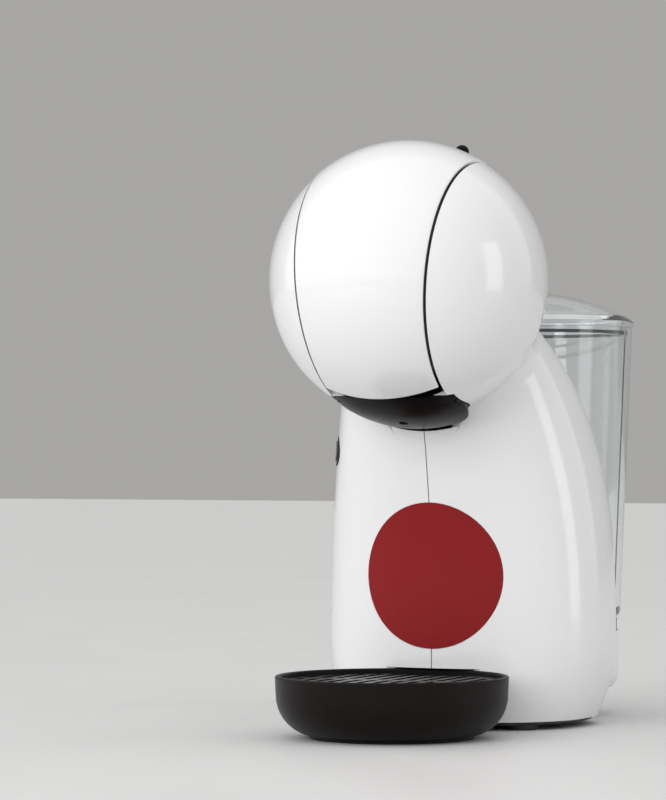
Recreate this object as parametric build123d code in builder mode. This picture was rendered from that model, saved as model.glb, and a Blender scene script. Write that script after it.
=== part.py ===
from build123d import *
import math
import os

os.makedirs("parts", exist_ok=True)

# Pod coffee machine, in millimetres. The front faces -Y, +Z is up, and the origin lies on the
# table under the middle of the machine's overall width and depth.

# ---- driving dimensions --------------------------------------------------------------------

overall_depth = 274.0          # drip tray's front to water tank's rear
overall_width = 138.8          # across the belly of the body
wall = 2.4                     # moulded housing wall
seam_gap = 0.5                 # line between the two body shells
fit_gap = 0.3                  # between curved neighbours on different bodies
pin_clearance = 0.05           # radial, pins and spindles in their bores

# Head: a ball whose front band is the locking visor.
head_radius = 65.0
head_height = 211.0            # ball centre above the table
tray_reach = 73.7              # tray's front ahead of the ball's centre
neck_blend = 14.0              # fillet where the ball grows out of the body

# Body: plan sections that are superellipses, narrowing towards the neck.
shell_bottom = 4.0
belly_height = 40.0            # widest level
belly_tuck = 11.9              # loss of half width at table level
waist_loss = 16.7              # loss of half width over the waist span
waist_span = 130.0
waist_power = 2.6
body_front = 27.5              # column's front behind the ball's centre
front_lean = 25.0              # how far the front comes forward over the waist span
front_lean_start = 73.0
front_lean_power = 1.6
body_rear = 120.8              # body's rear behind the ball's centre
rear_height = 47.0             # above this the rear slopes up to the neck
rear_loss = 48.5
rear_span = 140.0
rear_power = 4.1
front_roundness = 2.3          # superellipse powers
rear_roundness = 3.0
widest_share = 0.55            # widest point between front and rear
neck_top = 200.0               # the body ends inside the ball

# Visor, which is also the locking handle.
visor_half_width = 32.0        # at the ball's centre height
visor_taper = 0.075            # half width gained per mm of height
visor_proud = 0.4
visor_thickness = 2.5
visor_gap = 0.8                # open line beside the visor
visor_low_angle = -58.5        # degrees above the forward horizontal
visor_high_angle = 100.0
visor_travel = 48.0            # degrees that it lifts
visor_arm_x = 24.0             # inner face of each arm
visor_arm_thickness = 2.2
visor_hub_radius = 9.0
hinge_pin_radius = 4.0
hinge_boss_radius = 8.5

# Capsule holder: a drawer that slides forwards and slightly down.
drawer_half_width = 30.5
drawer_arc_y = -7.0            # centre of its round back, from the ball's centre
drawer_tilt = 12.0             # degrees of its slide below the horizontal
drawer_gap = 0.7
drawer_drop = 4.0              # its bowl hangs this much lower
drawer_back = 12.0             # and this much further back
drawer_floor = 3.0
well_radius = 20.0
well_y = -6.0                  # capsule well's centre, from the ball's centre
outlet_radius = 2.2
outlet_y = -6.0
rail_height = 2.4
rail_clearance = 0.35

# Accent disc on the column.
disc_radius = 34.5
disc_height = 72.8
disc_recess = 0.6
disc_proud = 0.2

# Drip tray.
tray_radius = 53.9
tray_height = 28.5
tray_wall = 2.4
tray_gap = 1.0
tray_foot_radius = 38.0
tray_shoulder = 9.0            # height of the upright band under the rim
grid_depth = 2.2               # grid's top below the rim
grid_thickness = 2.6
grid_slot = 3.6

# Water tank behind the body.
tank_radius = 56.5             # outside, at the rim
tank_foot_radius = 50.1
tank_bottom = 48.0
tank_rim = 193.0
tank_wall = 2.2
tank_gap = 1.5
lid_apex = 211.6
lid_dome_radius = 118.0
lid_overhang = 0.8
lid_edge = 3.0                 # upright edge of the lid
lid_wall = 2.0
seat_height = 6.0              # black seat between base and tank
seat_radius = 48.5
base_radius = 49.5             # rear base under the tank
base_lift = 12.5               # its underside above the table
valve_radius = 8.0
spigot_bore = 4.0
cord_height = 26.0
cord_bush_radius = 6.0
cord_bore_radius = 3.6

# Selection lever and power button.
lever_hub_y = 47.0             # from the ball's centre
lever_axis_z = 205.0
lever_knee_z = 224.0
lever_tip_y = 66.0
lever_tip_z = 279.5
lever_radius = 2.2
lever_knob_radius = 3.5
lever_hub_radius = 7.0
lever_swing = 16.0             # degrees to each side
button_radius = 5.0
bezel_radius = 7.2
button_height = 131.6
button_y = 49.0                # from the ball's centre
button_travel = 1.5

# Insides.
plate_bottom = 2.5             # base plate's underside, the thickness of the rubber feet
plate_thickness = 3.5
hose_height = 30.0
hose_radius = 3.0
chassis_y = 52.0               # from the ball's centre, as are the places below
chassis_thickness = 3.0
pump_y = 84.0
pump_radius = 18.0
pump_bottom = 24.0
pump_length = 66.0
block_y = 43.5
block_height = 62.0            # thermoblock's underside
block_size = (54.0, 14.0, 62.0)
piston_radius = 17.0
piston_bottom = 167.0
piston_height = 19.0
guide_bottom = 178.0
guide_height = 18.0
valve_centre_z = 205.0
pipe_radius = 2.0

# ---- places worked out from them --------------------------------------------------------------

front_y = -overall_depth / 2
head_y = front_y + tray_reach
tray_y = front_y + tray_radius
lid_radius = tank_radius + lid_overhang
tank_y = overall_depth / 2 - lid_radius
head_centre = (0, head_y, head_height)
visor_outer = head_radius + visor_proud
visor_inner = visor_outer - visor_thickness
head_inner = head_radius - wall
crown_outer = visor_inner - 0.5
crown_inner = crown_outer - 2.2
crown_low_angle = visor_high_angle - 14.0
bay_rear_angle = visor_high_angle + visor_travel + 4.0
bay_half_width = visor_half_width + visor_taper * head_radius + visor_gap
boss_x = visor_arm_x + visor_arm_thickness + 1.0
trim_inner_x = visor_arm_x + visor_arm_thickness + 0.8
trim_outer_x = bay_half_width + 3.0
mouth_half = drawer_half_width + drawer_gap
dock_radius = tray_radius + tray_gap
dock_top = tray_height + 0.6
seat_bottom = tank_bottom - seat_height
plate_top = plate_bottom + plate_thickness
strip_top = head_height - head_radius - drawer_drop - 2.5
lever_exit_z = head_height + 19.7
slot_half = lever_radius + 1 + (lever_exit_z - lever_axis_z) * math.sin(math.radians(lever_swing))
far = 400.0                    # longer than anything it cuts


def gain(z, start, span, amount, power):
    """Growth from zero at start to amount one span above it."""
    return amount * (max(0.0, z - start) / span) ** power


def body_size(z):
    """Half width, front and rear of the body's outside at height z."""
    tuck = belly_tuck * (max(0.0, belly_height - z) / belly_height) ** 2
    half = overall_width / 2 - tuck - gain(z, belly_height, waist_span, waist_loss, waist_power)
    front = body_front - gain(z, front_lean_start, waist_span, front_lean, front_lean_power)
    rear = body_rear - gain(z, rear_height, rear_span, rear_loss, rear_power)
    return half, head_y + front, head_y + rear


def body_outline(z, inset, count=28):
    """Points of the body's plan section at height z, moved in by inset."""
    half, front, rear = body_size(z)
    half, front, rear = half - inset, front + inset, rear - inset
    middle = front + widest_share * (rear - front)
    points = []
    for step in range(count):
        across = math.cos(2 * math.pi * step / count)
        along = math.sin(2 * math.pi * step / count)
        power = rear_roundness if along >= 0 else front_roundness
        reach = rear - middle if along >= 0 else middle - front
        x = half * math.copysign(abs(across) ** (2 / power), across)
        y = middle + reach * math.copysign(abs(along) ** (2 / power), along)
        points.append((x, y))
    return points


def body_form(inset, bottom=shell_bottom, top=neck_top):
    """Solid of the body's form, moved in by inset."""
    levels = (10, 20, 40, 62, 84, 106, 126, 144, 160, 174, 188)
    with BuildPart() as form:
        for z in [bottom, *levels, top]:
            with BuildSketch(Plane.XY.offset(z)):
                with BuildLine():
                    Spline(*body_outline(z, inset), periodic=True)
                make_face()
        loft()
    return form.part


def ball(radius, back=0.0, drop=0.0):
    """Solid ball about the head's centre."""
    with BuildPart() as form:
        with Locations((0, head_y + back, head_height - drop)):
            Sphere(radius)
    return form.part


def on_ball(angle, radius):
    """Side-view point (y, z) at an angle above the forward horizontal."""
    turn = math.radians(angle)
    return head_y - radius * math.cos(turn), head_height + radius * math.sin(turn)


def side_sector(low, high, radius=90.0):
    """Wedge of the ball's side view between two angles, across the whole width."""
    third = (high - low) / 3
    with BuildPart() as form:
        with BuildSketch(Plane.YZ):
            with BuildLine():
                Polyline((head_y, head_height), on_ball(low, radius),
                         on_ball(low + third, radius * 1.3), on_ball(high - third, radius * 1.3),
                         on_ball(high, radius), close=True)
            make_face()
        extrude(amount=80, both=True)
    return form.part


def visor_wedge(gap, rear_half):
    """Space between the visor's side planes, with a straight channel behind the ball's centre."""
    reach = 80.0
    low = visor_half_width + gap - visor_taper * reach
    high = visor_half_width + gap + visor_taper * reach
    with BuildPart() as form:
        with BuildSketch(Plane.XZ.offset(-head_y)):
            with BuildLine():
                Polyline((-low, head_height - reach), (low, head_height - reach),
                         (high, head_height + reach), (-high, head_height + reach), close=True)
            make_face()
        extrude(amount=reach)
        with BuildSketch(Plane.XY.offset(head_height)):
            with Locations((0, head_y + reach / 2)):
                Rectangle(2 * rear_half, reach)
        extrude(amount=reach)
    return form.part


def mouth_prism(half, bottom, top):
    """Upright U-shaped prism of the capsule mouth, open to the front."""
    reach = 100.0
    with BuildPart() as form:
        with BuildSketch(Plane.XY.offset(bottom)):
            with Locations((0, head_y + drawer_arc_y)):
                Circle(half)
            with Locations((0, head_y + drawer_arc_y - reach / 2)):
                Rectangle(2 * half, reach)
        extrude(amount=top - bottom)
    return form.part


# ---- shared forms ------------------------------------------------------------------------------

body_outside = body_form(0)
body_inside = body_form(wall, bottom=shell_bottom - 2, top=neck_top - wall)
lining_outside = body_form(wall + 0.1)
body_skin = body_form(-0.4)

with BuildPart() as outer_form:
    add(body_outside)
    with Locations(head_centre):
        Sphere(head_radius)
    neck_line = [edge for edge in outer_form.edges(Select.NEW) if edge.bounding_box().size.Y > 5]
    fillet(neck_line, radius=neck_blend)

with BuildPart() as inner_form:
    add(body_inside)
    with Locations(head_centre):
        Sphere(head_inner)

# ---- openings in the housing ----------------------------------------------------------------------

with BuildPart() as visor_bay:
    add(visor_wedge(visor_gap, bay_half_width))
    add(side_sector(visor_low_angle - 8, bay_rear_angle), mode=Mode.INTERSECT)

# plane of the capsule holder's top, which starts under the visor's lip and rises to the back
visor_lip_y, visor_lip_z = on_ball(visor_low_angle, visor_outer)
tilt = math.radians(drawer_tilt)
drawer_plane = Plane(origin=(0, visor_lip_y, visor_lip_z - 0.8), x_dir=(1, 0, 0),
                     z_dir=(0, -math.sin(tilt), math.cos(tilt)))

with BuildPart() as below_holder_top:
    with BuildSketch(drawer_plane.offset(0.5)):
        Rectangle(200, 200)
    extrude(amount=-60)

with BuildPart() as mouth_front:
    add(mouth_prism(mouth_half, head_height - 75, head_height - 35))
    add(body_form(-0.15), mode=Mode.SUBTRACT)
    add(below_holder_top.part, mode=Mode.INTERSECT)

with BuildPart() as mouth_back:
    add(mouth_prism(mouth_half, head_height - 75, head_height - 35))
    add(ball(head_radius + drawer_gap, drawer_back, drawer_drop + 0.6), mode=Mode.INTERSECT)
    add(below_holder_top.part, mode=Mode.INTERSECT)

disc_plane = Plane.XZ.offset(10 - body_size(disc_height)[1])

with BuildPart() as disc_seat:
    with BuildSketch(disc_plane):
        with Locations((0, disc_height)):
            Circle(disc_radius + 0.15)
    extrude(amount=-40)
    add(body_form(disc_recess), mode=Mode.SUBTRACT)

screw_places = [(side * 49, head_y + y) for side in (-1, 1) for y in (64, 94)]

with BuildPart() as screw_posts:
    with BuildSketch(Plane.XY.offset(plate_top + 0.1)):
        with Locations(screw_places):
            Rectangle(11, 9)
        with Locations([(1.2 * x, y) for x, y in screw_places]):
            Rectangle(20, 3)
    extrude(amount=12)
    add(body_form(1.0), mode=Mode.INTERSECT)
    with BuildSketch(Plane.XY.offset(plate_top)):
        with Locations(screw_places):
            Circle(1.5)
    extrude(amount=11, mode=Mode.SUBTRACT)

# ---- housing ---------------------------------------------------------------------------------------

with BuildPart() as housing_shell:
    add(outer_form.part)
    add(inner_form.part, mode=Mode.SUBTRACT)
    add(screw_posts.part)
    for opening in (visor_bay, mouth_front, mouth_back, disc_seat):
        add(opening.part, mode=Mode.SUBTRACT)
    # recess for the back of the drip tray
    with BuildSketch(Plane.XY.offset(shell_bottom - 3)):
        with Locations((0, tray_y)):
            Circle(dock_radius)
    extrude(amount=dock_top - shell_bottom + 3, mode=Mode.SUBTRACT)
    # lever slot behind the crown
    with BuildSketch(Plane.XZ.offset(-head_y - 50)):
        with Locations((0, lever_exit_z)):
            RectangleRounded(2 * slot_half, 10.5, 4)
    extrude(amount=-25, mode=Mode.SUBTRACT)
    # the suction hose passes through the rear wall
    with BuildSketch(Plane.XZ.offset(10 - head_y - body_rear)):
        with Locations((0, hose_height)):
            Circle(hose_radius + 1.5)
    extrude(amount=-20, mode=Mode.SUBTRACT)
    # power button in the left flank
    with BuildSketch(Plane.YZ.offset(-overall_width / 2 - 5)):
        with Locations((head_y + button_y, button_height)):
            Circle(bezel_radius + 0.1)
    extrude(amount=25, mode=Mode.SUBTRACT)
    # hinge bosses inside the cheeks
    for side in (-1, 1):
        with BuildSketch(Plane.YZ.offset(side * boss_x)):
            with Locations((head_y, head_height)):
                Circle(hinge_boss_radius)
                Circle(hinge_pin_radius + 0.02, mode=Mode.SUBTRACT)
        extrude(amount=side * (head_inner - boss_x + 0.5))

with BuildPart() as right_body_shell:
    add(housing_shell.part)
    split(bisect_by=Plane.YZ.offset(seam_gap / 2), keep=Keep.TOP)

with BuildPart() as left_body_shell:
    add(housing_shell.part)
    split(bisect_by=Plane.YZ.offset(-seam_gap / 2), keep=Keep.BOTTOM)

# Strip behind the line where the two shells meet on the column.
with BuildPart() as seam_strip:
    with Locations((0, head_y + body_front, dock_top + 2.5)):
        Box(8, 40, strip_top - dock_top - 2.5, align=(Align.CENTER, Align.CENTER, Align.MIN))
    add(lining_outside, mode=Mode.INTERSECT)
    add(body_form(wall + 1.5), mode=Mode.SUBTRACT)

with BuildPart() as accent_disc:
    with BuildSketch(disc_plane):
        with Locations((0, disc_height)):
            Circle(disc_radius)
    extrude(amount=-40)
    add(body_form(-disc_proud), mode=Mode.INTERSECT)
    add(body_form(disc_recess - 0.05), mode=Mode.SUBTRACT)

# Sunken crown that the visor's rear edge slides over.
with BuildPart() as crown_cover:
    with Locations(head_centre):
        Box(2 * trim_outer_x, far, far)
    add(ball(crown_outer), mode=Mode.INTERSECT)
    add(ball(crown_inner), mode=Mode.SUBTRACT)
    add(side_sector(crown_low_angle, bay_rear_angle + 2), mode=Mode.INTERSECT)

# Dark strips under the visor's two side lines.
trim_low = math.radians(visor_low_angle + 8)
trim_span = crown_low_angle - 0.5 - visor_low_angle - 8

with BuildPart() as bay_trims:
    with BuildSketch(Plane(origin=head_centre, x_dir=(1, 0, 0),
                           z_dir=(0, -math.sin(trim_low), -math.cos(trim_low)))):
        Circle(crown_outer)
        Circle(crown_inner, mode=Mode.SUBTRACT)
        with Locations((trim_inner_x, 0)):
            Rectangle(trim_outer_x - trim_inner_x, far, align=(Align.MIN, Align.MIN),
                      mode=Mode.INTERSECT)
    revolve(axis=Axis(head_centre, (-1, 0, 0)), revolution_arc=trim_span)
    mirror(about=Plane.YZ)

with BuildPart() as tray_dock:
    with BuildSketch(Plane.XY.offset(plate_top)):
        with Locations((0, tray_y)):
            Circle(dock_radius + 2)
    extrude(amount=dock_top + 2 - plate_top)
    add(lining_outside, mode=Mode.INTERSECT)
    with BuildSketch(Plane.XY.offset(plate_top)):
        with Locations((0, tray_y)):
            Circle(dock_radius)
    extrude(amount=dock_top - plate_top, mode=Mode.SUBTRACT)

foot_places = [(side * 38, head_y + y) for side in (-1, 1) for y in (48, 106)]
rear_foot_places = [(side * 24, tank_y + 16) for side in (-1, 1)]

with BuildPart() as base_plate:
    with BuildSketch(Plane.XY.offset(plate_bottom)):
        with BuildLine():
            Spline(*body_outline(shell_bottom, wall + 0.3), periodic=True)
        make_face()
        with Locations((0, tray_y)):
            Circle(dock_radius, mode=Mode.SUBTRACT)
        with Locations(screw_places):
            Circle(1.7, mode=Mode.SUBTRACT)
        with Locations((0, head_y + 84)):
            with GridLocations(7, 0, 7, 1):
                SlotOverall(26, 3, rotation=90, mode=Mode.SUBTRACT)
    extrude(amount=plate_thickness)
    with BuildSketch(Plane.XY.offset(plate_bottom)):
        with Locations(screw_places):
            Circle(3.4)
    extrude(amount=2.2, mode=Mode.SUBTRACT)

with BuildPart() as base_screws:
    with BuildSketch(Plane.XY.offset(plate_bottom + 0.4)):
        with Locations(screw_places):
            Circle(3.1)
    extrude(amount=1.8)
    with BuildSketch(Plane.XY.offset(plate_bottom + 2.2)):
        with Locations(screw_places):
            Circle(1.45)
    extrude(amount=plate_top + 8 - plate_bottom - 2.2)

with BuildPart() as rubber_feet:
    with BuildSketch(Plane.XY):
        with Locations(foot_places):
            Circle(7.5)
        with Locations(rear_foot_places):
            Circle(6)
    extrude(amount=plate_bottom)
    fillet(rubber_feet.faces().sort_by(Axis.Z)[:6].edges(), radius=0.8)

# ---- rear base, tank seat and inlet -----------------------------------------------------------------

with BuildPart() as rear_base_cover:
    with BuildSketch(Plane.XY.offset(base_lift)):
        with Locations((0, tank_y)):
            Circle(base_radius)
    extrude(amount=seat_bottom - base_lift)
    fillet(rear_base_cover.edges().sort_by(Axis.Z)[0], radius=8)
    with BuildSketch(Plane.XY.offset(base_lift + wall)):
        with Locations((0, tank_y)):
            Circle(base_radius - wall)
    extrude(amount=seat_bottom, mode=Mode.SUBTRACT)
    with BuildSketch(Plane.XY.offset(plate_bottom)):
        with Locations(rear_foot_places):
            Circle(7.5)
    extrude(amount=base_lift + wall / 2 - plate_bottom)
    add(body_skin, mode=Mode.SUBTRACT)
    with BuildSketch(Plane.XZ.offset(-tank_y)):
        with Locations((0, cord_height)):
            Circle(cord_bush_radius)
    extrude(amount=-far, mode=Mode.SUBTRACT)

with BuildPart() as cord_inlet:
    with BuildSketch(Plane.XZ.offset(-tank_y - base_radius + wall + 2)):
        with Locations((0, cord_height)):
            Circle(cord_bush_radius - 0.02)
            Circle(cord_bore_radius, mode=Mode.SUBTRACT)
    extrude(amount=-(wall + 4.5))
    with BuildSketch(Plane.XZ.offset(-tank_y - base_radius + wall + 2)):
        with Locations((0, cord_height)):
            Circle(cord_bush_radius + 2)
            Circle(cord_bore_radius, mode=Mode.SUBTRACT)
    extrude(amount=1.5)

with BuildPart() as tank_seat:
    with BuildSketch(Plane.XY.offset(seat_bottom)):
        with Locations((0, tank_y)):
            Circle(seat_radius)
            Circle(spigot_bore, mode=Mode.SUBTRACT)
    extrude(amount=seat_height)
    with BuildSketch(Plane.XY.offset(seat_bottom + 1.4)):
        with Locations((0, tank_y)):
            Circle(valve_radius + 1)
    extrude(amount=seat_height, mode=Mode.SUBTRACT)
    add(body_form(-0.6), mode=Mode.SUBTRACT)

with BuildPart() as tank_spigot:
    with BuildSketch(Plane.XY.offset(hose_height - 6)):
        with Locations((0, tank_y)):
            Circle(spigot_bore + 2.5)
    extrude(amount=seat_bottom - hose_height + 6)
    with BuildSketch(Plane.XZ.offset(-tank_y)):
        with Locations((0, hose_height)):
            Circle(hose_radius + 1)
    extrude(amount=spigot_bore + 6)
    with BuildSketch(Plane.XY.offset(hose_height - 4)):
        with Locations((0, tank_y)):
            Circle(spigot_bore)
    extrude(amount=far, mode=Mode.SUBTRACT)
    with BuildSketch(Plane.XZ.offset(-tank_y)):
        with Locations((0, hose_height)):
            Circle(hose_radius - 1.2)
    extrude(amount=far, mode=Mode.SUBTRACT)

with BuildPart() as spigot_seal:
    with BuildSketch(Plane.XY.offset(seat_bottom + 1.4)):
        with Locations((0, tank_y)):
            Circle(valve_radius + 0.6)
            Circle(spigot_bore, mode=Mode.SUBTRACT)
    extrude(amount=0.9)

# ---- water tank ---------------------------------------------------------------------------------------

tank_plane = Plane.XZ.offset(-tank_y)
tank_axis = Axis((0, tank_y, 0), (0, 0, 1))


def tank_drum(inset, floor, top):
    """Tapered drum of the tank, moved in by inset, from a floor height to a top height."""
    slope = (tank_radius - tank_foot_radius) / (tank_rim - tank_bottom)
    low = tank_foot_radius - inset + slope * (floor - tank_bottom)
    high = tank_foot_radius - inset + slope * (top - tank_bottom)
    with BuildPart() as form:
        with BuildSketch(tank_plane):
            with BuildLine():
                Polyline((0, floor), (low, floor), (high, top), (0, top), close=True)
            make_face()
        revolve(axis=tank_axis)
        fillet(form.edges().filter_by(GeomType.CIRCLE).sort_by(Axis.Z)[0], radius=4)
    return form.part


with BuildPart() as tank_hollow:
    add(tank_drum(tank_wall, tank_bottom + tank_wall, tank_rim + 4))
    add(body_form(-tank_gap - tank_wall), mode=Mode.SUBTRACT)

with BuildPart() as water_tank:
    add(tank_drum(0, tank_bottom, tank_rim))
    add(body_form(-tank_gap), mode=Mode.SUBTRACT)
    add(tank_hollow.part, mode=Mode.SUBTRACT)
    with BuildSketch(Plane.XY.offset(tank_bottom - 1)):
        with Locations((0, tank_y)):
            Circle(valve_radius + pin_clearance)
    extrude(amount=tank_wall + 2, mode=Mode.SUBTRACT)

valve_bottom = seat_bottom + 2.3
web_height = tank_bottom + 4

with BuildPart() as valve_housing:
    with BuildSketch(Plane.XY.offset(valve_bottom)):
        with Locations((0, tank_y)):
            Circle(valve_radius)
    extrude(amount=tank_bottom + 8 - valve_bottom)
    with BuildSketch(Plane.XY.offset(valve_bottom + 1.2)):
        with Locations((0, tank_y)):
            Circle(valve_radius - 2.6)
    extrude(amount=web_height - valve_bottom - 1.2, mode=Mode.SUBTRACT)
    with BuildSketch(Plane.XY.offset(web_height + 1.2)):
        with Locations((0, tank_y)):
            Circle(valve_radius - 2.6)
    extrude(amount=20, mode=Mode.SUBTRACT)
    with BuildSketch(Plane.XY.offset(valve_bottom)):
        with Locations((0, tank_y)):
            Circle(3.2)
    extrude(amount=1.2, mode=Mode.SUBTRACT)
    with BuildSketch(Plane.XY.offset(web_height)):
        with Locations((0, tank_y)):
            Circle(1.5 + pin_clearance)
            with PolarLocations(3.6, 4):
                Circle(1.0)
    extrude(amount=1.2, mode=Mode.SUBTRACT)

with BuildPart() as valve_poppet:
    with BuildSketch(Plane.XY.offset(valve_bottom + 1.2)):
        with Locations((0, tank_y)):
            Circle(valve_radius - 3.2)
    extrude(amount=1.4)
    with BuildSketch(Plane.XY.offset(valve_bottom + 1.2)):
        with Locations((0, tank_y)):
            Circle(1.5)
    extrude(amount=web_height + 3 - valve_bottom)

spring_low = valve_bottom + 2.7
spring_pitch = (web_height - 0.1 - spring_low - 0.7) / 4

with BuildPart() as valve_spring:
    with BuildLine() as spring_line:
        Helix(pitch=spring_pitch, height=4 * spring_pitch, radius=2.9,
              center=(0, tank_y, spring_low + 0.35))
    with BuildSketch(Plane(origin=spring_line.line @ 0, z_dir=spring_line.line % 0)):
        Circle(0.33)
    sweep()

lid_edge_z = tank_rim + 0.1
dome_edge = lid_radius - 3.4
dome_z = lid_apex - lid_dome_radius + math.sqrt(lid_dome_radius**2 - dome_edge**2)
half_dome = lid_apex - lid_dome_radius + math.sqrt(lid_dome_radius**2 - (dome_edge / 2) ** 2)
lip_radius = tank_radius - tank_wall - 1.2

with BuildPart() as tank_lid:
    with BuildSketch(tank_plane):
        with BuildLine():
            ThreePointArc((0, lid_apex), (dome_edge / 2, half_dome), (dome_edge, dome_z))
            Polyline((dome_edge, dome_z), (lid_radius, dome_z - 2.6), (lid_radius, lid_edge_z),
                     (lip_radius, lid_edge_z), (lip_radius, lid_edge_z - 4), (0, lid_edge_z - 4),
                     (0, lid_apex))
        make_face()
    revolve(axis=tank_axis)
    with BuildSketch(tank_plane):
        with BuildLine():
            ThreePointArc((0, lid_apex - lid_wall), (dome_edge / 2, half_dome - lid_wall),
                          (lip_radius - 1.6, dome_z - 1.4))
            Polyline((lip_radius - 1.6, dome_z - 1.4), (lip_radius - 1.6, lid_edge_z - 5),
                     (0, lid_edge_z - 5), (0, lid_apex - lid_wall))
        make_face()
    revolve(axis=tank_axis, mode=Mode.SUBTRACT)

with BuildPart() as lid_seal:
    with BuildSketch(Plane.XY.offset(lid_edge_z - 3.4)):
        with Locations((0, tank_y)):
            Circle(lip_radius + 0.7)
            Circle(lip_radius + 0.02, mode=Mode.SUBTRACT)
    extrude(amount=1.6)

# ---- drip tray ------------------------------------------------------------------------------------------

tray_plane = Plane.XZ.offset(-tray_y)
tray_axis = Axis((0, tray_y, 0), (0, 0, 1))
shoulder_z = tray_height - tray_shoulder
grid_top = tray_height - grid_depth
grid_radius = tray_radius - tray_wall - 0.7
ledge_top = grid_top - grid_thickness


def tray_profile(inset):
    """Half section of the tray's bowl, moved in by inset, up past the rim when inset."""
    top = tray_height + (5 if inset else 0)
    side = tray_radius - 0.4 - inset
    low = 1.2 + inset
    middle = (tray_foot_radius + 0.72 * (side - tray_foot_radius), low + 0.36 * (shoulder_z - low))
    with BuildSketch(tray_plane) as section:
        with BuildLine():
            Line((0, low), (tray_foot_radius, low))
            ThreePointArc((tray_foot_radius, low), middle, (side, shoulder_z))
            Polyline((side, shoulder_z), (tray_radius - inset, top), (0, top), (0, low))
        make_face()
    return section.sketch


with BuildPart() as drip_tray:
    add(tray_profile(0))
    revolve(axis=tray_axis)
    with BuildSketch(Plane.XY):
        with Locations((0, tray_y)):
            Circle(tray_foot_radius)
            Circle(tray_foot_radius - 3, mode=Mode.SUBTRACT)
    extrude(amount=1.4)
    add(tray_profile(tray_wall))
    revolve(axis=tray_axis, mode=Mode.SUBTRACT)
    with BuildSketch(Plane.XY.offset(ledge_top - 3)):
        with Locations((0, tray_y)):
            Circle(tray_radius - tray_wall / 2)
            Circle(grid_radius - 2.5, mode=Mode.SUBTRACT)
    extrude(amount=3)
    rim = drip_tray.faces().sort_by(Axis.Z)[-1].edges()
    fillet(rim, radius=0.9)

with BuildPart() as drip_grid:
    with BuildSketch(Plane.XY.offset(ledge_top)):
        with Locations((0, tray_y)):
            Circle(grid_radius)
            for step in range(-6, 7):
                x = step * 2 * grid_slot
                reach = math.sqrt((grid_radius - 6) ** 2 - x**2)
                for side in (-1, 1):
                    with Locations((x, side * (reach + 2) / 2)):
                        SlotOverall(max(reach - 2, grid_slot + 1), grid_slot, rotation=90,
                                    mode=Mode.SUBTRACT)
    extrude(amount=grid_thickness)
    # its rear edge follows the column, so that it lifts out straight up
    with BuildSketch(Plane.XY.offset(ledge_top - 1)):
        with BuildLine():
            Spline(*body_outline(front_lean_start, -1.0), periodic=True)
        make_face()
    extrude(amount=grid_thickness + 2, mode=Mode.SUBTRACT)

# ---- visor ------------------------------------------------------------------------------------------------

with BuildPart() as visor_shell:
    add(visor_wedge(0, visor_half_width + visor_taper * head_radius))
    add(ball(visor_outer), mode=Mode.INTERSECT)
    add(ball(visor_inner), mode=Mode.SUBTRACT)
    add(side_sector(visor_low_angle, visor_high_angle), mode=Mode.INTERSECT)

with BuildPart() as visor_arms:
    for side in (-1, 1):
        with BuildSketch(Plane.YZ.offset(side * visor_arm_x)):
            with BuildLine():
                Polyline((head_y + 5, head_height), on_ball(-50, 90), on_ball(-10, 90),
                         on_ball(30, 90), close=True)
            make_face()
            with Locations((head_y, head_height)):
                Circle(visor_hub_radius)
            with Locations(on_ball(-10, 34)):
                Circle(9, mode=Mode.SUBTRACT)
            with Locations((head_y, head_height)):
                Circle(hinge_pin_radius + pin_clearance, mode=Mode.SUBTRACT)
        extrude(amount=side * visor_arm_thickness)
    add(ball(visor_inner), mode=Mode.INTERSECT)

with BuildPart() as hinge_pins:
    for side in (-1, 1):
        with BuildSketch(Plane.YZ.offset(side * (visor_arm_x - 0.5))):
            with Locations((head_y, head_height)):
                Circle(hinge_pin_radius)
        extrude(amount=side * 26)
        with BuildSketch(Plane.YZ.offset(side * (visor_arm_x - 0.5))):
            with Locations((head_y, head_height)):
                Circle(hinge_pin_radius + 2.5)
        extrude(amount=-side * 2)

# ---- capsule holder --------------------------------------------------------------------------------------

rail_low = -4.6

with BuildPart() as drawer_block:
    with BuildSketch(drawer_plane):
        Rectangle(200, 200)
    extrude(amount=-60)

with BuildPart() as capsule_holder:
    add(mouth_prism(drawer_half_width, head_height - 80, head_height - 30))
    add(ball(head_radius, drawer_back, drawer_drop), mode=Mode.INTERSECT)
    add(drawer_block.part, mode=Mode.INTERSECT)
    for side in (-1, 1):
        with BuildSketch(drawer_plane.offset(rail_low - rail_clearance)):
            with Locations((side * (drawer_half_width + 3), 60)):
                Rectangle(9.8, 80)
        extrude(amount=rail_height + 2 * rail_clearance, mode=Mode.SUBTRACT)

with BuildPart() as capsule_well:
    with BuildSketch(Plane.XY.offset(head_height - 75)):
        with Locations((0, head_y + well_y)):
            Circle(well_radius)
    extrude(amount=40)
    add(ball(head_radius - drawer_floor, drawer_back, drawer_drop), mode=Mode.INTERSECT)

with BuildPart() as outlet_hole:
    with BuildSketch(Plane.XY.offset(head_height - 80)):
        with Locations((0, head_y + outlet_y)):
            Circle(outlet_radius)
    extrude(amount=25)

with BuildPart() as capsule_drawer:
    add(capsule_holder.part)
    add(capsule_well.part, mode=Mode.SUBTRACT)
    add(outlet_hole.part, mode=Mode.SUBTRACT)

with BuildPart() as drawer_rails:
    for side in (-1, 1):
        with BuildSketch(drawer_plane.offset(rail_low)):
            with Locations((side * (mouth_half - 1.4), 31)):
                Rectangle(1.9, 19)
        extrude(amount=rail_height)

# ---- injector ----------------------------------------------------------------------------------------------

injector_y = head_y + well_y

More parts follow.
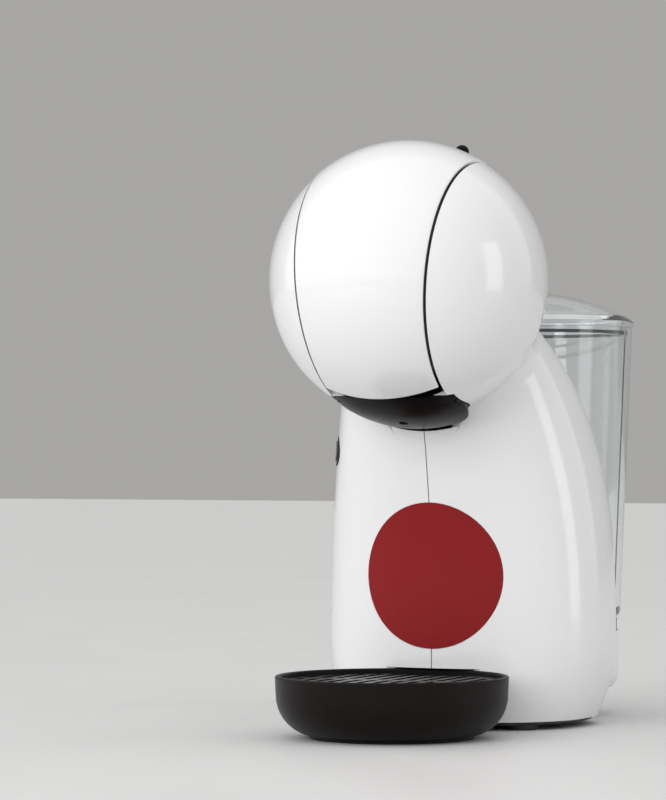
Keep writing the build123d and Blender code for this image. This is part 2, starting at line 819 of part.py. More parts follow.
with BuildPart() as injector_guide:
    with BuildSketch(Plane.XY.offset(guide_bottom)):
        with Locations((0, injector_y)):
            Circle(piston_radius + 4)
    extrude(amount=guide_height)
    with BuildSketch(Plane.XY.offset(guide_bottom + guide_height - 10)):
        with Locations([(side * 11, (injector_y + head_y + chassis_y) / 2) for side in (-1, 1)]):
            Rectangle(6, head_y + chassis_y - injector_y)
    extrude(amount=4)
    with BuildSketch(Plane.XY.offset(guide_bottom)):
        with Locations((0, injector_y)):
            Circle(piston_radius + pin_clearance)
    extrude(amount=guide_height, mode=Mode.SUBTRACT)

with BuildPart() as injector_piston:
    with BuildSketch(Plane.XY.offset(piston_bottom)):
        with Locations((0, injector_y)):
            Circle(piston_radius)
    extrude(amount=piston_height)
    with BuildSketch(Plane.XY.offset(piston_bottom + 1)):
        with Locations((0, injector_y)):
            Circle(pipe_radius + 0.3)
    extrude(amount=piston_height, mode=Mode.SUBTRACT)

with BuildPart() as needle:
    with BuildSketch(Plane.XY.offset(piston_bottom)):
        with Locations((0, injector_y)):
            Circle(1.3)
    extrude(amount=-5.5, taper=10)

with BuildPart() as injector_seal:
    with BuildSketch(Plane.XY.offset(piston_bottom)):
        with Locations((0, injector_y)):
            Circle(piston_radius - 1.5)
            Circle(piston_radius - 7, mode=Mode.SUBTRACT)
    extrude(amount=-2)

# ---- selection lever and power button ------------------------------------------------------------------

with BuildPart() as selection_lever:
    with BuildLine() as lever_line:
        FilletPolyline((0, head_y + lever_hub_y, lever_axis_z),
                       (0, head_y + lever_hub_y, lever_knee_z),
                       (0, head_y + lever_tip_y, lever_knee_z + 10),
                       (0, head_y + lever_tip_y, lever_tip_z - lever_knob_radius), radius=4)
    with BuildSketch(Plane.XY.offset(lever_axis_z)):
        with Locations((0, head_y + lever_hub_y)):
            Circle(lever_radius)
    sweep()
    with BuildSketch(Plane.XZ.offset(3 - head_y - lever_hub_y)):
        with Locations((0, lever_axis_z)):
            Circle(lever_hub_radius)
    extrude(amount=-6)

with BuildPart() as lever_knob:
    with BuildSketch(Plane.XZ.offset(-head_y - lever_tip_y)):
        with BuildLine():
            Line((0, lever_tip_z - 24), (lever_knob_radius - 1, lever_tip_z - 24))
            Line((lever_knob_radius - 1, lever_tip_z - 24),
                 (lever_knob_radius, lever_tip_z - lever_knob_radius))
            RadiusArc((lever_knob_radius, lever_tip_z - lever_knob_radius), (0, lever_tip_z),
                      -lever_knob_radius)
            Line((0, lever_tip_z), (0, lever_tip_z - 24))
        make_face()
    revolve(axis=Axis((0, head_y + lever_tip_y, 0), (0, 0, 1)))
    add(selection_lever.part, mode=Mode.SUBTRACT)

button_x = -overall_width / 2 - 5
button_floor = -(body_size(button_height)[0] - 12)

with BuildPart() as power_button:
    with BuildSketch(Plane.YZ.offset(button_x)):
        with Locations((head_y + button_y, button_height)):
            Circle(button_radius)
    extrude(amount=button_floor - button_x)
    add(body_form(-0.9), mode=Mode.INTERSECT)

with BuildPart() as button_bezel:
    with BuildSketch(Plane.YZ.offset(button_x)):
        with Locations((head_y + button_y, button_height)):
            Circle(bezel_radius)
            Circle(button_radius + fit_gap, mode=Mode.SUBTRACT)
    extrude(amount=button_floor - button_x)
    add(body_form(-0.35), mode=Mode.INTERSECT)

# ---- insides ------------------------------------------------------------------------------------------------

chassis_plane = Plane.XZ.offset(-head_y - chassis_y)
neck_frame_top = lever_axis_z - 10.2
hose_top = 140.0

with BuildPart() as chassis:
    with BuildSketch(chassis_plane):
        with Locations((0, plate_top)):
            Rectangle(68, hose_top + 8 - plate_top, align=(Align.CENTER, Align.MIN))
            Rectangle(32, neck_frame_top - plate_top, align=(Align.CENTER, Align.MIN))
        with Locations((-6, hose_top)):
            Circle(8, mode=Mode.SUBTRACT)
        with Locations((-24, 40), (24, 40), (-24, 80), (24, 80)):
            SlotOverall(24, 10, rotation=90, mode=Mode.SUBTRACT)
    extrude(amount=-chassis_thickness)
    with BuildSketch(Plane.XY.offset(plate_top)):
        with Locations((0, head_y + chassis_y + chassis_thickness + 4)):
            Rectangle(60, 10)
    extrude(amount=2.5)
    with BuildSketch(Plane.XY.offset(neck_frame_top - 3.5)):
        with Locations((0, head_y + chassis_y - 14)):
            Rectangle(12, 30)
        with Locations((0, head_y + 40)):
            Circle(pipe_radius + 1.5, mode=Mode.SUBTRACT)
    extrude(amount=3.5)

with BuildPart() as pump:
    with BuildSketch(Plane.XY.offset(pump_bottom)):
        with Locations((0, head_y + pump_y)):
            Circle(pump_radius)
    extrude(amount=pump_length)
    with BuildSketch(Plane.XY.offset(pump_bottom + pump_length)):
        with Locations((0, head_y + pump_y)):
            Circle(5)
    extrude(amount=8)
    with BuildSketch(Plane.XZ.offset(-head_y - pump_y)):
        with Locations((0, hose_height)):
            Circle(5)
    extrude(amount=-pump_radius - 6)

cradle_levels = (pump_bottom + 12, pump_bottom + pump_length - 18)

with BuildPart() as pump_bushes:
    for z in cradle_levels:
        with BuildSketch(Plane.XY.offset(z)):
            with Locations((0, head_y + pump_y)):
                Circle(pump_radius + 3)
                Circle(pump_radius + 0.02, mode=Mode.SUBTRACT)
        extrude(amount=6)

with BuildPart() as pump_cradle:
    for z in cradle_levels:
        with BuildSketch(Plane.XY.offset(z)):
            with Locations((0, head_y + pump_y)):
                Circle(pump_radius + 5)
            with Locations((0, head_y + chassis_y + chassis_thickness + 5)):
                Rectangle(20, 10)
            with Locations((0, head_y + pump_y)):
                Circle(pump_radius + 3.02, mode=Mode.SUBTRACT)
        extrude(amount=6)

with BuildPart() as thermoblock:
    with BuildSketch(Plane.XY.offset(block_height)):
        with Locations((0, head_y + block_y)):
            RectangleRounded(block_size[0], block_size[1], 3)
    extrude(amount=block_size[2])
    fillet(thermoblock.edges().group_by(Axis.Z)[-1], radius=2)

block_top = block_height + block_size[2]
hose_x = -12.0

with BuildPart() as thermoblock_clips:
    for z in (block_height + 8, block_top - 14):
        with BuildSketch(Plane.XY.offset(z)):
            gap = chassis_y - block_y - block_size[1] / 2
            with Locations((0, head_y + chassis_y - gap / 2)):
                Rectangle(16, gap)
        extrude(amount=6)

with BuildPart() as thermal_cutouts:
    with BuildSketch(Plane.XY.offset(block_top)):
        with Locations((14, head_y + block_y), (22, head_y + block_y - 1)):
            Circle(3.4)
    extrude(amount=4)

with BuildPart() as suction_hose:
    with BuildSketch(Plane.XZ.offset(-head_y - pump_y - pump_radius - 6)):
        with Locations((0, hose_height)):
            Circle(hose_radius)
    extrude(amount=-(tank_y - spigot_bore - 8 - head_y - pump_y - pump_radius - 4))

with BuildPart() as pressure_hose:
    with BuildLine():
        FilletPolyline((0, head_y + pump_y, pump_bottom + pump_length + 8),
                       (0, head_y + pump_y, hose_top),
                       (hose_x, head_y + block_y, hose_top),
                       (hose_x, head_y + block_y, block_top), radius=7)
    with BuildSketch(Plane.XY.offset(pump_bottom + pump_length + 8)):
        with Locations((0, head_y + pump_y)):
            Circle(2.5)
    sweep()

with BuildPart() as brew_hose:
    with BuildSketch(Plane.XY.offset(block_top)):
        with Locations((0, head_y + 40)):
            Circle(pipe_radius)
    extrude(amount=valve_centre_z - 9.7 - block_top)

with BuildPart() as selector_valve:
    with BuildSketch(Plane.XZ.offset(-head_y - 22)):
        with Locations((0, valve_centre_z)):
            Circle(10)
    extrude(amount=-(lever_hub_y - 3.4 - 22))
    with BuildSketch(Plane.XY.offset(valve_centre_z - 10)):
        with Locations((0, head_y + 40)):
            Circle(pipe_radius + 0.4)
    extrude(amount=4, mode=Mode.SUBTRACT)

with BuildPart() as feed_pipe:
    with BuildLine():
        FilletPolyline((0, head_y + 22, valve_centre_z), (0, injector_y, valve_centre_z),
                       (0, injector_y, piston_bottom + 10), radius=8)
    with BuildSketch(Plane.XZ.offset(-head_y - 22)):
        with Locations((0, valve_centre_z)):
            Circle(pipe_radius)
    sweep()

board_x = -(overall_width / 2 - 28.0)

with BuildPart() as control_board:
    with BuildSketch(Plane.YZ.offset(board_x)):
        with Locations((head_y + button_y, button_height - 16)):
            Rectangle(20, 46)
    extrude(amount=1.6)

with BuildPart() as button_switch:
    with BuildSketch(Plane.YZ.offset(board_x)):
        with Locations((head_y + button_y, button_height)):
            Rectangle(7, 7)
    extrude(amount=button_floor + button_travel + 0.2 - board_x)

# ---- export --------------------------------------------------------------------------------------------------

pieces = {
    "right_body_shell": right_body_shell, "left_body_shell": left_body_shell,
    "seam_strip": seam_strip, "accent_disc": accent_disc, "crown_cover": crown_cover,
    "bay_trims": bay_trims, "tray_dock": tray_dock, "base_plate": base_plate,
    "base_screws": base_screws, "rubber_feet": rubber_feet, "rear_base_cover": rear_base_cover,
    "cord_inlet": cord_inlet, "tank_seat": tank_seat, "tank_spigot": tank_spigot,
    "spigot_seal": spigot_seal, "water_tank": water_tank, "valve_housing": valve_housing,
    "valve_poppet": valve_poppet, "valve_spring": valve_spring, "tank_lid": tank_lid,
    "lid_seal": lid_seal, "drip_tray": drip_tray, "drip_grid": drip_grid,
    "visor_shell": visor_shell, "visor_arms": visor_arms, "hinge_pins": hinge_pins,
    "capsule_drawer": capsule_drawer, "drawer_rails": drawer_rails,
    "injector_guide": injector_guide, "injector_piston": injector_piston, "needle": needle,
    "injector_seal": injector_seal, "selection_lever": selection_lever,
    "lever_knob": lever_knob, "power_button": power_button, "button_bezel": button_bezel,
    "chassis": chassis, "pump": pump, "pump_bushes": pump_bushes, "pump_cradle": pump_cradle,
    "thermoblock": thermoblock, "thermoblock_clips": thermoblock_clips,
    "thermal_cutouts": thermal_cutouts, "suction_hose": suction_hose,
    "pressure_hose": pressure_hose, "brew_hose": brew_hose, "selector_valve": selector_valve,
    "feed_pipe": feed_pipe, "control_board": control_board, "button_switch": button_switch,
}
for name, piece in pieces.items():
    piece.part.label = name
    export_step(piece.part, f"parts/{name}.step")
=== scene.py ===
import bmesh
import bpy
import math
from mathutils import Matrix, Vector


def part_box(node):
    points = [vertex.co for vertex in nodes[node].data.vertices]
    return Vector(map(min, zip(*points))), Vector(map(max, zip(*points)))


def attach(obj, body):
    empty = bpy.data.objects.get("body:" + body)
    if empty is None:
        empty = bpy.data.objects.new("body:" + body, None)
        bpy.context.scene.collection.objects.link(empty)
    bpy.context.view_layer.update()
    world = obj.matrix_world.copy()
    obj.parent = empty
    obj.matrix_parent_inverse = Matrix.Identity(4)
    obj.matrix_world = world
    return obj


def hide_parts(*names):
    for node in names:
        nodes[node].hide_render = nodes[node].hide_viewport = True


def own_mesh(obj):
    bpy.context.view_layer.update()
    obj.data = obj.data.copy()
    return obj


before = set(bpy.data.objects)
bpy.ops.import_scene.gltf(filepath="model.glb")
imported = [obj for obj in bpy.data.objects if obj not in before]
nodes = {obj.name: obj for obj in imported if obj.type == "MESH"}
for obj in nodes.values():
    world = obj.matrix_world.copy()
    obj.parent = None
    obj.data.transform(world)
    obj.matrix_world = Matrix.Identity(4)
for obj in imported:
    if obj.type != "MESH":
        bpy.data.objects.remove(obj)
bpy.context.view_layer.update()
scene = bpy.context.scene

# ---- shared surface effects ----------------------------------------------------------------------


def new_group(name, inputs, outputs):
    """An empty node group with the named sockets, and its two end nodes."""
    group = bpy.data.node_groups.new(name, "ShaderNodeTree")
    for label, kind, value in inputs:
        socket = group.interface.new_socket(label, in_out="INPUT", socket_type=kind)
        if value is not None:
            socket.default_value = value
    for label, kind in outputs:
        group.interface.new_socket(label, in_out="OUTPUT", socket_type=kind)
    start = group.nodes.new("NodeGroupInput")
    end = group.nodes.new("NodeGroupOutput")
    start.location, end.location = (-900, 0), (500, 0)
    return group, start, end


def make_grain():
    """Height of a moulded grain: a broad ripple under a fine texture."""
    group, start, end = new_group(
        "moulded_grain",
        [("Vector", "NodeSocketVector", None), ("Ripple Scale", "NodeSocketFloat", 30.0),
         ("Grain Scale", "NodeSocketFloat", 900.0), ("Grain Share", "NodeSocketFloat", 0.3)],
        [("Height", "NodeSocketFloat")])
    ripple = group.nodes.new("ShaderNodeTexNoise")
    grain = group.nodes.new("ShaderNodeTexNoise")
    blend = group.nodes.new("ShaderNodeMix")
    ripple.inputs["Detail"].default_value = 1.0
    grain.inputs["Detail"].default_value = 3.0
    ripple.location, grain.location, blend.location = (-600, 150), (-600, -150), (-200, 0)
    link = group.links.new
    link(start.outputs["Vector"], ripple.inputs["Vector"])
    link(start.outputs["Vector"], grain.inputs["Vector"])
    link(start.outputs["Ripple Scale"], ripple.inputs["Scale"])
    link(start.outputs["Grain Scale"], grain.inputs["Scale"])
    link(start.outputs["Grain Share"], blend.inputs["Factor"])
    link(ripple.outputs["Fac"], blend.inputs["A"])
    link(grain.outputs["Fac"], blend.inputs["B"])
    link(blend.outputs["Result"], end.inputs["Height"])
    return group


def make_handling():
    """Roughness that drifts where hands and cloths have been."""
    group, start, end = new_group(
        "handling_marks",
        [("Vector", "NodeSocketVector", None), ("Clean", "NodeSocketFloat", 0.1),
         ("Handled", "NodeSocketFloat", 0.2), ("Scale", "NodeSocketFloat", 14.0)],
        [("Roughness", "NodeSocketFloat"), ("Mask", "NodeSocketFloat")])
    patches = group.nodes.new("ShaderNodeTexNoise")
    spread = group.nodes.new("ShaderNodeMapRange")
    blend = group.nodes.new("ShaderNodeMix")
    patches.inputs["Detail"].default_value = 5.0
    patches.inputs["Roughness"].default_value = 0.62
    spread.inputs["From Min"].default_value = 0.42
    spread.inputs["From Max"].default_value = 0.72
    patches.location, spread.location, blend.location = (-600, 0), (-350, 0), (0, 0)
    link = group.links.new
    link(start.outputs["Vector"], patches.inputs["Vector"])
    link(start.outputs["Scale"], patches.inputs["Scale"])
    link(patches.outputs["Fac"], spread.inputs["Value"])
    link(spread.outputs["Result"], blend.inputs["Factor"])
    link(start.outputs["Clean"], blend.inputs["A"])
    link(start.outputs["Handled"], blend.inputs["B"])
    link(blend.outputs["Result"], end.inputs["Roughness"])
    link(spread.outputs["Result"], end.inputs["Mask"])
    return group


def make_drift():
    """Colour that drifts slightly between two near shades."""
    group, start, end = new_group(
        "shade_drift",
        [("Vector", "NodeSocketVector", None), ("Shade", "NodeSocketColor", None),
         ("Other Shade", "NodeSocketColor", None), ("Scale", "NodeSocketFloat", 9.0)],
        [("Color", "NodeSocketColor")])
    patches = group.nodes.new("ShaderNodeTexNoise")
    blend = group.nodes.new("ShaderNodeMix")
    blend.data_type = "RGBA"
    patches.inputs["Detail"].default_value = 4.0
    patches.location, blend.location = (-500, 0), (0, 0)
    link = group.links.new
    link(start.outputs["Vector"], patches.inputs["Vector"])
    link(start.outputs["Scale"], patches.inputs["Scale"])
    link(patches.outputs["Fac"], blend.inputs[0])
    link(start.outputs["Shade"], blend.inputs[6])
    link(start.outputs["Other Shade"], blend.inputs[7])
    link(blend.outputs[2], end.inputs["Color"])
    return group


def make_brushing():
    """Height of fine lines along one direction, as rolling or turning leaves on metal."""
    group, start, end = new_group(
        "brushed_lines",
        [("Vector", "NodeSocketVector", None), ("Scale", "NodeSocketFloat", 40.0)],
        [("Height", "NodeSocketFloat")])
    stretch = group.nodes.new("ShaderNodeMapping")
    lines = group.nodes.new("ShaderNodeTexNoise")
    stretch.inputs["Scale"].default_value = (1.0, 1.0, 26.0)
    lines.inputs["Detail"].default_value = 4.0
    stretch.location, lines.location = (-600, 0), (-250, 0)
    link = group.links.new
    link(start.outputs["Vector"], stretch.inputs["Vector"])
    link(stretch.outputs["Vector"], lines.inputs["Vector"])
    link(start.outputs["Scale"], lines.inputs["Scale"])
    link(lines.outputs["Fac"], end.inputs["Height"])
    return group


moulded_grain = make_grain()
handling_marks = make_handling()
shade_drift = make_drift()
brushed_lines = make_brushing()


def place_group(tree, group, where, vector, **values):
    """Puts a group in a material and sets its named inputs."""
    node = tree.nodes.new("ShaderNodeGroup")
    node.node_tree = group
    node.location = where
    tree.links.new(vector, node.inputs["Vector"])
    for label, value in values.items():
        node.inputs[label.replace("_", " ")].default_value = value
    return node


def finish_material(name, shade, other, clean, handled, height_group, height_values,
                    bump_distance, bump_strength=0.4, drift_scale=9.0, marks_scale=14.0,
                    plain=None):
    """A Principled material whose colour, roughness and bump all vary over the surface.

    plain gives the sockets that are the same all over it.
    """
    material = bpy.data.materials.new(name)
    material.use_nodes = True
    tree = material.node_tree
    shader = tree.nodes["Principled BSDF"]
    coordinates = tree.nodes.new("ShaderNodeTexCoord")
    coordinates.location = (-1100, 0)
    vector = coordinates.outputs["Object"]
    drift = place_group(tree, shade_drift, (-700, 300), vector, Shade=(*shade, 1),
                        Other_Shade=(*other, 1), Scale=drift_scale)
    marks = place_group(tree, handling_marks, (-700, 0), vector, Clean=clean, Handled=handled,
                        Scale=marks_scale)
    height = place_group(tree, height_group, (-700, -300), vector, **height_values)
    bump = tree.nodes.new("ShaderNodeBump")
    bump.location = (-350, -300)
    bump.inputs["Strength"].default_value = bump_strength
    bump.inputs["Distance"].default_value = bump_distance
    tree.links.new(drift.outputs["Color"], shader.inputs["Base Color"])
    tree.links.new(marks.outputs["Roughness"], shader.inputs["Roughness"])
    tree.links.new(height.outputs["Height"], bump.inputs["Height"])
    tree.links.new(bump.outputs["Normal"], shader.inputs["Normal"])
    for label, value in (plain or {}).items():
        shader.inputs[label].default_value = value
    return material


# ---- materials -----------------------------------------------------------------------------------

shell_white = finish_material(
    "shell_white", (0.78, 0.782, 0.788), (0.755, 0.757, 0.765), 0.14, 0.22, moulded_grain,
    dict(Ripple_Scale=18.0, Grain_Scale=700.0, Grain_Share=0.04), 0.00025, 0.3,
    plain={"IOR": 1.55, "Coat Weight": 0.7, "Coat Roughness": 0.04})

crown_white = finish_material(
    "crown_white", (0.80, 0.81, 0.82), (0.76, 0.77, 0.785), 0.3, 0.42, moulded_grain,
    dict(Ripple_Scale=30.0, Grain_Scale=1400.0, Grain_Share=0.4), 0.0002)

accent_red = finish_material(
    "accent_red", (0.25, 0.009, 0.011), (0.215, 0.007, 0.009), 0.34, 0.46, moulded_grain,
    dict(Ripple_Scale=25.0, Grain_Scale=1600.0, Grain_Share=0.5), 0.0002,
    plain={"Specular IOR Level": 0.18})

gloss_black = finish_material(
    "gloss_black", (0.004, 0.004, 0.004), (0.007, 0.0065, 0.0065), 0.22, 0.36, moulded_grain,
    dict(Ripple_Scale=25.0, Grain_Scale=1100.0, Grain_Share=0.1), 0.0002,
    plain={"Specular IOR Level": 0.06})

grained_black = finish_material(
    "grained_black", (0.0035, 0.0022, 0.0018), (0.0055, 0.0038, 0.003), 0.36, 0.48,
    moulded_grain, dict(Ripple_Scale=60.0, Grain_Scale=1500.0, Grain_Share=0.75), 0.0003, 0.35,
    plain={"Specular IOR Level": 0.14})

matt_black = finish_material(
    "matt_black", (0.012, 0.012, 0.012), (0.02, 0.02, 0.02), 0.48, 0.65, moulded_grain,
    dict(Ripple_Scale=60.0, Grain_Scale=1300.0, Grain_Share=0.7), 0.0004, 0.5)

foot_rubber = finish_material(
    "foot_rubber", (0.016, 0.016, 0.016), (0.03, 0.029, 0.028), 0.7, 0.85, moulded_grain,
    dict(Ripple_Scale=80.0, Grain_Scale=1700.0, Grain_Share=0.8), 0.0004, 0.6)

seal_silicone = finish_material(
    "seal_silicone", (0.2, 0.205, 0.21), (0.25, 0.255, 0.26), 0.5, 0.62, moulded_grain,
    dict(Ripple_Scale=80.0, Grain_Scale=1500.0, Grain_Share=0.6), 0.0002)

frame_nylon = finish_material(
    "frame_nylon", (0.10, 0.105, 0.11), (0.13, 0.135, 0.14), 0.5, 0.62, moulded_grain,
    dict(Ripple_Scale=60.0, Grain_Scale=1200.0, Grain_Share=0.7), 0.0003)

hose_silicone = finish_material(
    "hose_silicone", (0.62, 0.61, 0.56), (0.7, 0.69, 0.65), 0.35, 0.48, moulded_grain,
    dict(Ripple_Scale=60.0, Grain_Scale=900.0, Grain_Share=0.3), 0.0002,
    plain={"Subsurface Weight": 0.15, "Subsurface Radius": (0.004, 0.004, 0.003)})

circuit_green = finish_material(
    "circuit_green", (0.012, 0.075, 0.028), (0.03, 0.11, 0.05), 0.3, 0.45, moulded_grain,
    dict(Ripple_Scale=300.0, Grain_Scale=900.0, Grain_Share=0.4), 0.0003, drift_scale=260.0)

button_green = finish_material(
    "button_green", (0.012, 0.03, 0.017), (0.018, 0.04, 0.024), 0.14, 0.25, moulded_grain,
    dict(Ripple_Scale=60.0, Grain_Scale=900.0, Grain_Share=0.1), 0.0002)

plated_steel = finish_material(
    "plated_steel", (0.52, 0.52, 0.53), (0.6, 0.6, 0.61), 0.24, 0.38, brushed_lines,
    dict(Scale=60.0), 0.0002, 0.3, plain={"Metallic": 1.0})

cast_aluminium = finish_material(
    "cast_aluminium", (0.5, 0.505, 0.51), (0.6, 0.605, 0.61), 0.42, 0.58, moulded_grain,
    dict(Ripple_Scale=120.0, Grain_Scale=1500.0, Grain_Share=0.7), 0.0005, 0.6,
    plain={"Metallic": 1.0})

pump_case = finish_material(
    "pump_case", (0.05, 0.05, 0.055), (0.075, 0.075, 0.08), 0.35, 0.5, brushed_lines,
    dict(Scale=50.0), 0.0003, 0.4, plain={"Metallic": 0.6})

clear_plastic = finish_material(
    "clear_plastic", (0.93, 0.96, 0.965), (0.95, 0.97, 0.975), 0.015, 0.06, moulded_grain,
    dict(Ripple_Scale=14.0, Grain_Scale=300.0, Grain_Share=0.02), 0.0003, 0.25,
    plain={"Transmission Weight": 1.0, "IOR": 1.49})

mark_grain = dict(Ripple_Scale=60.0, Grain_Scale=1500.0, Grain_Share=0.5)
mark_red = finish_material("mark_red", (0.45, 0.02, 0.02), (0.5, 0.03, 0.03), 0.3, 0.42,
                           moulded_grain, mark_grain, 0.0001)
mark_blue = finish_material("mark_blue", (0.02, 0.10, 0.42), (0.03, 0.13, 0.5), 0.3, 0.42,
                            moulded_grain, mark_grain, 0.0001)

node_finishes = {
    shell_white: ("right_body_shell", "left_body_shell", "visor_shell", "rear_base_cover"),
    crown_white: ("crown_cover",),
    accent_red: ("accent_disc",),
    gloss_black: ("capsule_drawer", "drip_grid", "lever_knob", "button_bezel"),
    grained_black: ("drip_tray",),
    matt_black: ("seam_strip", "bay_trims", "tray_dock", "base_plate", "cord_inlet", "tank_seat",
                 "visor_arms", "drawer_rails", "button_switch"),
    foot_rubber: ("rubber_feet", "lid_seal", "pump_bushes"),
    seal_silicone: ("spigot_seal", "injector_seal"),
    frame_nylon: ("tank_spigot", "valve_housing", "valve_poppet", "injector_guide",
                  "injector_piston", "chassis", "pump_cradle", "selector_valve"),
    plated_steel: ("base_screws", "valve_spring", "hinge_pins", "needle", "selection_lever",
                   "thermoblock_clips", "feed_pipe"),
    cast_aluminium: ("thermoblock",),
    pump_case: ("pump", "thermal_cutouts"),
    hose_silicone: ("suction_hose", "pressure_hose", "brew_hose"),
    circuit_green: ("control_board",),
    button_green: ("power_button",),
    clear_plastic: ("water_tank", "tank_lid"),
}
for material, names in node_finishes.items():
    for name in names:
        for slot in nodes[name].material_slots:
            slot.material = material

# ---- small pieces on the frame -------------------------------------------------------------------


def place_piece(name, mesh, material, body):
    """Turns a finished bmesh into an object that rides on a body."""
    bmesh.ops.recalc_face_normals(mesh, faces=mesh.faces)
    data = bpy.data.meshes.new(name)
    mesh.to_mesh(data)
    mesh.free()
    for face in data.polygons:
        face.use_smooth = True
    data.materials.append(material)
    piece = bpy.data.objects.new(name, data)
    scene.collection.objects.link(piece)
    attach(piece, body)
    return piece


def round_edges(mesh, width, steps=2, sharper_than=30.0):
    """Bevels the edges that turn by more than an angle."""
    edges = [edge for edge in mesh.edges
             if len(edge.link_faces) == 2
             and math.degrees(edge.calc_face_angle(0.0)) > sharper_than]
    bmesh.ops.bevel(mesh, geom=edges, offset=width, affect="EDGES", segments=steps, profile=0.5,
                    material=-1)


def low_corner(name):
    return Vector(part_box(name)[0])


def high_corner(name):
    return Vector(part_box(name)[1])


tank_low, tank_high = low_corner("water_tank"), high_corner("water_tank")
tank_rim_radius = (tank_high.x - tank_low.x) / 2
tank_middle = Vector((0, tank_high.y - tank_rim_radius, 0))
tank_taper = 0.0064 / 0.145   # radius lost for each metre down from the rim


def tank_radius(height):
    return tank_rim_radius - tank_taper * (tank_high.z - height)


# fill line and level bars moulded on the outside of the tank, each a height and a width
bar_rows = ((0.170, 0.030), (0.145, 0.014), (0.120, 0.014), (0.095, 0.014), (0.070, 0.014))
bar_proud, bar_thick = 0.0012, 0.0011
bar_turn = math.radians(20)
bar_cuts, shortest_cut_edge = 11, 0.005
bars = bmesh.new()
for height, width in bar_rows:
    bar = bmesh.ops.create_cube(bars, size=1.0)["verts"]
    bmesh.ops.scale(bars, vec=(width, bar_proud, bar_thick), verts=bar)
    bmesh.ops.translate(bars, vec=(0, 0, height), verts=bar)
long_edges = [edge for edge in bars.edges
              if abs(edge.verts[0].co.x - edge.verts[1].co.x) > shortest_cut_edge]
bmesh.ops.subdivide_edges(bars, edges=long_edges, cuts=bar_cuts)
for corner in bars.verts:
    reach = tank_radius(corner.co.z) + corner.co.y
    turn = corner.co.x / tank_radius(corner.co.z) - bar_turn
    corner.co.x = tank_middle.x + reach * math.sin(turn)
    corner.co.y = tank_middle.y + reach * math.cos(turn)
place_piece("tank_level_bars", bars, clear_plastic, "water_tank")

# the valve's coil, welded from the spring's mesh; the real coil shortens by the valve's stroke as
# the poppet rises
valve_travel, weld_distance = 0.002, 0.000001
coil = bmesh.new()
coil.from_mesh(nodes["valve_spring"].data)
bmesh.ops.remove_doubles(coil, verts=coil.verts, dist=weld_distance)
coil_piece = place_piece("valve_coil", coil, plated_steel, "water_tank")
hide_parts("valve_spring")
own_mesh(coil_piece)

# visor: a curved sheet on the ball, given its wall and rounded edges
head_middle = Vector((0, -0.0633, 0.211))
visor_low, visor_high = math.radians(-58.5), math.radians(100)
visor_radius = 0.0654
visor_side = 0.0319      # half width at the height of the hinge
visor_widening = 0.075   # half width gained for each metre above it
visor_wall, visor_rounding = 0.0025, 0.0006


def visor_half(turn):
    """Half width of the visor at an angle round the hinge, found in a few rounds."""
    half = visor_side
    for _ in range(6):
        half = (visor_side
                + visor_widening * math.sqrt(visor_radius ** 2 - half ** 2) * math.sin(turn))
    return half


visor = bmesh.new()
bmesh.ops.create_grid(visor, x_segments=36, y_segments=84, size=1.0)
for corner in visor.verts:
    across, along = corner.co.x, corner.co.y
    turn = visor_low + (visor_high - visor_low) * (along + 1) / 2
    side = across * visor_half(turn)
    reach = math.sqrt(visor_radius ** 2 - side ** 2)
    corner.co = head_middle + Vector((side, -reach * math.cos(turn), reach * math.sin(turn)))
bmesh.ops.recalc_face_normals(visor, faces=visor.faces)
first = visor.faces[:][0]
if first.normal.dot(first.calc_center_median() - head_middle) < 0:
    bmesh.ops.reverse_faces(visor, faces=visor.faces)
bmesh.ops.solidify(visor, geom=visor.faces[:], thickness=visor_wall)
bmesh.ops.recalc_face_normals(visor, faces=visor.faces)
round_edges(visor, visor_rounding, steps=3, sharper_than=50.0)
visor_piece = place_piece("visor_skin", visor, shell_white, "visor")
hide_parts("visor_shell")

# round hot and cold marks on the ball, one on each side of the lever
mark_radius, mark_height, mark_rounding = 0.0026, 0.0007, 0.0002
mark_foot = 0.0645   # distance of a mark's foot from the ball's middle
for side, name, material, slot in ((1, "hot_mark", mark_red, "accent_red"),
                                   (-1, "cold_mark", mark_blue, "frame_grey")):
    direction = Vector((side * 0.74, 0.42, 0.70)).normalized()
    mark = bmesh.new()
    bmesh.ops.create_circle(mark, cap_ends=True, segments=36, radius=mark_radius)
    grown = bmesh.ops.extrude_face_region(mark, geom=mark.faces[:])["geom"]
    bmesh.ops.translate(mark, vec=(0, 0, mark_height),
                        verts=[item for item in grown if isinstance(item, bmesh.types.BMVert)])
    bmesh.ops.recalc_face_normals(mark, faces=mark.faces)
    round_edges(mark, mark_rounding)
    turn = Vector((0, 0, 1)).rotation_difference(direction).to_matrix()
    bmesh.ops.rotate(mark, cent=(0, 0, 0), matrix=turn, verts=mark.verts)
    bmesh.ops.translate(mark, vec=head_middle + direction * mark_foot, verts=mark.verts)
    place_piece(name, mark, material, "housing")

# ---- floor, lights and camera --------------------------------------------------------------------

floor_mesh = bmesh.new()
bmesh.ops.create_grid(floor_mesh, x_segments=2, y_segments=2, size=6.0)
floor_data = bpy.data.meshes.new("floor")
floor_mesh.to_mesh(floor_data)
floor_mesh.free()
floor = bpy.data.objects.new("floor", floor_data)
scene.collection.objects.link(floor)
floor_data.materials.append(finish_material(
    "floor_pale", (0.70, 0.695, 0.69), (0.66, 0.655, 0.65), 0.5, 0.6, moulded_grain,
    dict(Ripple_Scale=3.0, Grain_Scale=200.0, Grain_Share=0.5), 0.0003, drift_scale=5.0))

# the room is one bright tent, with a greyer wall behind the machine that lightens overhead
world = bpy.data.worlds.new("studio")
scene.world = world
world.use_nodes = True
tree = world.node_tree
background = tree.nodes["Background"]


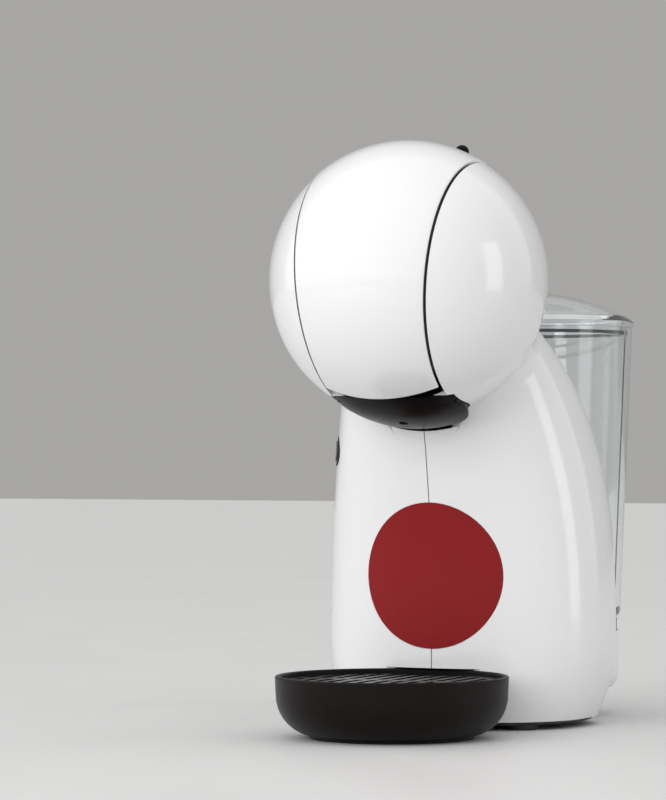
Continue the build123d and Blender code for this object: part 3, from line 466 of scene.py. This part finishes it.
def map_range(low, high, first=0.0, last=1.0):
    """A node that carries low to high over to first to last."""
    node = tree.nodes.new("ShaderNodeMapRange")
    for label, value in (("From Min", low), ("From Max", high), ("To Min", first),
                         ("To Max", last)):
        node.inputs[label].default_value = value
    return node


directions = tree.nodes.new("ShaderNodeTexCoord")
facing = tree.nodes.new("ShaderNodeVectorMath")
facing.operation = "DOT_PRODUCT"
facing.inputs[1].default_value = (-0.39, 0.92, 0.0)
wall = map_range(0.50, 0.54)
parts = tree.nodes.new("ShaderNodeSeparateXYZ")
ceiling = map_range(0.35, 0.95, 1.0, 0.25)
share = tree.nodes.new("ShaderNodeMath")
share.operation = "MULTIPLY"
tent = tree.nodes.new("ShaderNodeMix")
tent.data_type = "RGBA"
tent.inputs[6].default_value = (1.0, 1.0, 1.0, 1)
tent.inputs[7].default_value = (0.36, 0.355, 0.35, 1)
link = tree.links.new
link(directions.outputs["Generated"], facing.inputs[0])
link(facing.outputs["Value"], wall.inputs["Value"])
link(directions.outputs["Generated"], parts.inputs["Vector"])
link(parts.outputs["Z"], ceiling.inputs["Value"])
link(wall.outputs["Result"], share.inputs[0])
link(ceiling.outputs["Result"], share.inputs[1])
link(share.outputs["Value"], tent.inputs[0])
link(tent.outputs[2], background.inputs["Color"])
# the tent is dimmer towards +X, the side that the camera sees of the body
side_fall = map_range(0.35, 1.0, 1.08, 0.62)
side_fall.interpolation_type = "SMOOTHSTEP"
link(parts.outputs["X"], side_fall.inputs["Value"])
link(side_fall.outputs["Result"], background.inputs["Strength"])


def softbox(name, place, aim, width, height, power, mirrored=True):
    """A rectangular lamp aimed at a point, shown in reflections or not."""
    lamp = bpy.data.lights.new(name, "AREA")
    lamp.shape = "RECTANGLE"
    lamp.size, lamp.size_y = width, height
    lamp.energy = power
    box = bpy.data.objects.new(name, lamp)
    box.location = place
    box.rotation_euler = (Vector(aim) - Vector(place)).to_track_quat("-Z", "Y").to_euler()
    box.visible_glossy = mirrored
    scene.collection.objects.link(box)


softbox("front_box", (-0.45, -1.6, 0.62), (0, 0, 0.17), 1.1, 1.0, 11.0, mirrored=False)
softbox("side_box", (1.75, 0.15, 0.36), (0, 0, 0.14), 0.5, 1.2, 2.8)

camera_data = bpy.data.cameras.new("camera")
camera = bpy.data.objects.new("camera", camera_data)
camera_data.lens = 157.5
camera_data.sensor_width = 36
camera.location = (0.6369, -1.5637, 0.135)
camera.rotation_euler = Vector((-0.4106, 0.9120, 0.01257)).to_track_quat("-Z", "Y").to_euler()
scene.collection.objects.link(camera)
scene.camera = camera
scene.view_settings.view_transform = "Standard"
